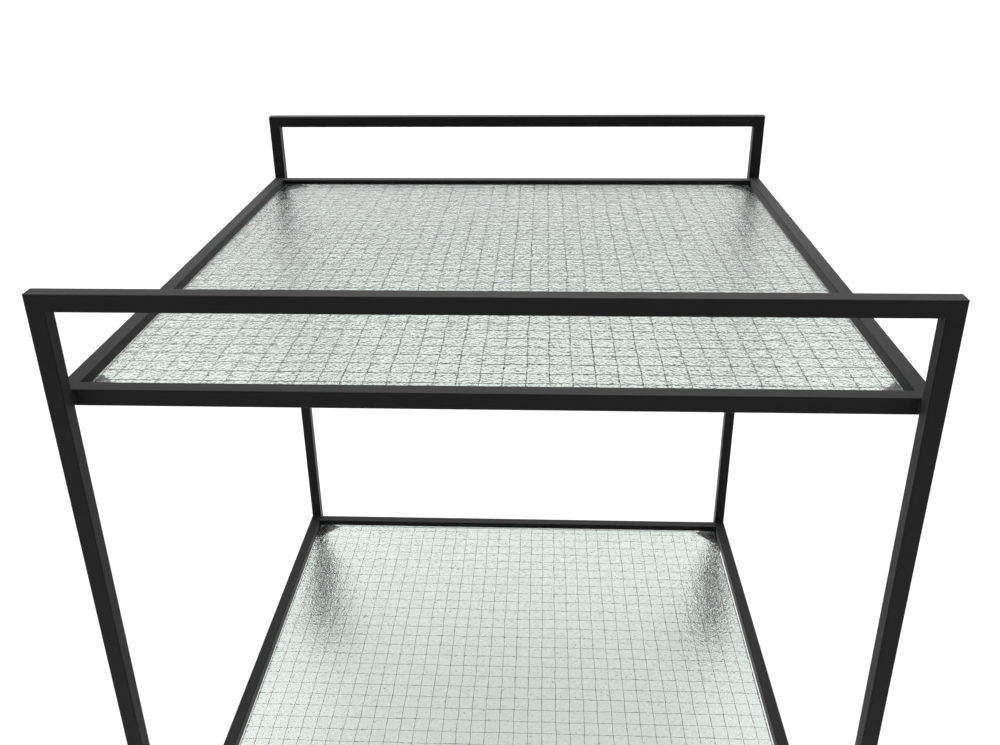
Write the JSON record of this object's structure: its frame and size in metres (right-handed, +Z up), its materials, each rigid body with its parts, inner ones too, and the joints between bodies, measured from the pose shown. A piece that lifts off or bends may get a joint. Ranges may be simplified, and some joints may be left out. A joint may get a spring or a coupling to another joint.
{
  "type": "two-tier trolley",
  "caption": "Two-tier trolley: black square-tube frame, wired-glass shelves, handle bars at both ends, swivel casters.",
  "frame": {"origin": "on the floor, below the middle of the trolley", "axes": "+X to the right along the handle bars, +Y from the front handle to the rear handle, +Z up"},
  "size_m": [0.506, 0.51, 0.62],
  "materials": {
    "powder_black": "fine matt powder coat",
    "wired_glass": "cast surface, pale grey-green",
    "clear_pad": "clear soft pad",
    "zinc_steel": "zinc plated",
    "caster_black": "black, semi-matt",
    "wheel_plastic": "moulded",
    "tyre_rubber": "matt rubber"
  },
  "bodies": {
    "root": {"front_handle": "powder_black", "rear_handle": "powder_black", "leg_fl": "powder_black", "leg_fr": "powder_black", "leg_rl": "powder_black", "leg_rr": "powder_black", "upper_rail_front": "powder_black", "upper_rail_rear": "powder_black", "upper_rail_left": "powder_black", "upper_rail_right": "powder_black", "lower_rail_front": "powder_black", "lower_rail_rear": "powder_black", "lower_rail_left": "powder_black", "lower_rail_right": "powder_black", "upper_gusset_fl": "powder_black", "upper_gusset_fr": "powder_black", "upper_gusset_rl": "powder_black", "upper_gusset_rr": "powder_black", "lower_gusset_fl": "powder_black", "lower_gusset_fr": "powder_black", "lower_gusset_rl": "powder_black", "lower_gusset_rr": "powder_black", "upper_glass": "wired_glass", "lower_glass": "wired_glass", "upper_pads": "clear_pad", "lower_pads": "clear_pad", "insert_fl": "zinc_steel", "insert_fr": "zinc_steel", "insert_rl": "zinc_steel", "insert_rr": "zinc_steel", "stem_fl": "zinc_steel", "stem_fr": "zinc_steel", "stem_rl": "zinc_steel", "stem_rr": "zinc_steel", "cup_fl": "caster_black", "cup_fr": "caster_black", "cup_rl": "caster_black", "cup_rr": "caster_black"},
    "swivel_fl": {"fork_fl": "caster_black", "axle_fl": "zinc_steel", "nut_fl": "zinc_steel"},
    "roller_fl": {"wheel_fl": "wheel_plastic", "tyre_fl": "tyre_rubber"},
    "swivel_fr": {"fork_fr": "caster_black", "axle_fr": "zinc_steel", "nut_fr": "zinc_steel"},
    "roller_fr": {"wheel_fr": "wheel_plastic", "tyre_fr": "tyre_rubber"},
    "swivel_rl": {"fork_rl": "caster_black", "axle_rl": "zinc_steel", "nut_rl": "zinc_steel"},
    "roller_rl": {"wheel_rl": "wheel_plastic", "tyre_rl": "tyre_rubber"},
    "swivel_rr": {"fork_rr": "caster_black", "axle_rr": "zinc_steel", "nut_rr": "zinc_steel"},
    "roller_rr": {"wheel_rr": "wheel_plastic", "tyre_rr": "tyre_rubber"}
  },
  "joints": [
    {"name": "swivel_turn_fl", "type": "hinge", "parent": "root", "child": "swivel_fl", "pos_m": [-0.235, -0.237, 0.0676], "axis": [0, 0, 1], "continuous": true},
    {"name": "wheel_roll_fl", "type": "hinge", "parent": "swivel_fl", "child": "roller_fl", "pos_m": [-0.235, -0.219, 0.025], "axis": [1, 0, 0], "continuous": true},
    {"name": "swivel_turn_fr", "type": "hinge", "parent": "root", "child": "swivel_fr", "pos_m": [0.235, -0.237, 0.0676], "axis": [0, 0, 1], "continuous": true},
    {"name": "wheel_roll_fr", "type": "hinge", "parent": "swivel_fr", "child": "roller_fr", "pos_m": [0.235, -0.219, 0.025], "axis": [1, 0, 0], "continuous": true},
    {"name": "swivel_turn_rl", "type": "hinge", "parent": "root", "child": "swivel_rl", "pos_m": [-0.235, 0.237, 0.0676], "axis": [0, 0, 1], "continuous": true},
    {"name": "wheel_roll_rl", "type": "hinge", "parent": "swivel_rl", "child": "roller_rl", "pos_m": [-0.235, 0.219, 0.025], "axis": [1, 0, 0], "continuous": true},
    {"name": "swivel_turn_rr", "type": "hinge", "parent": "root", "child": "swivel_rr", "pos_m": [0.235, 0.237, 0.0676], "axis": [0, 0, 1], "continuous": true},
    {"name": "wheel_roll_rr", "type": "hinge", "parent": "swivel_rr", "child": "roller_rr", "pos_m": [0.235, 0.219, 0.025], "axis": [1, 0, 0], "continuous": true}
  ]
}
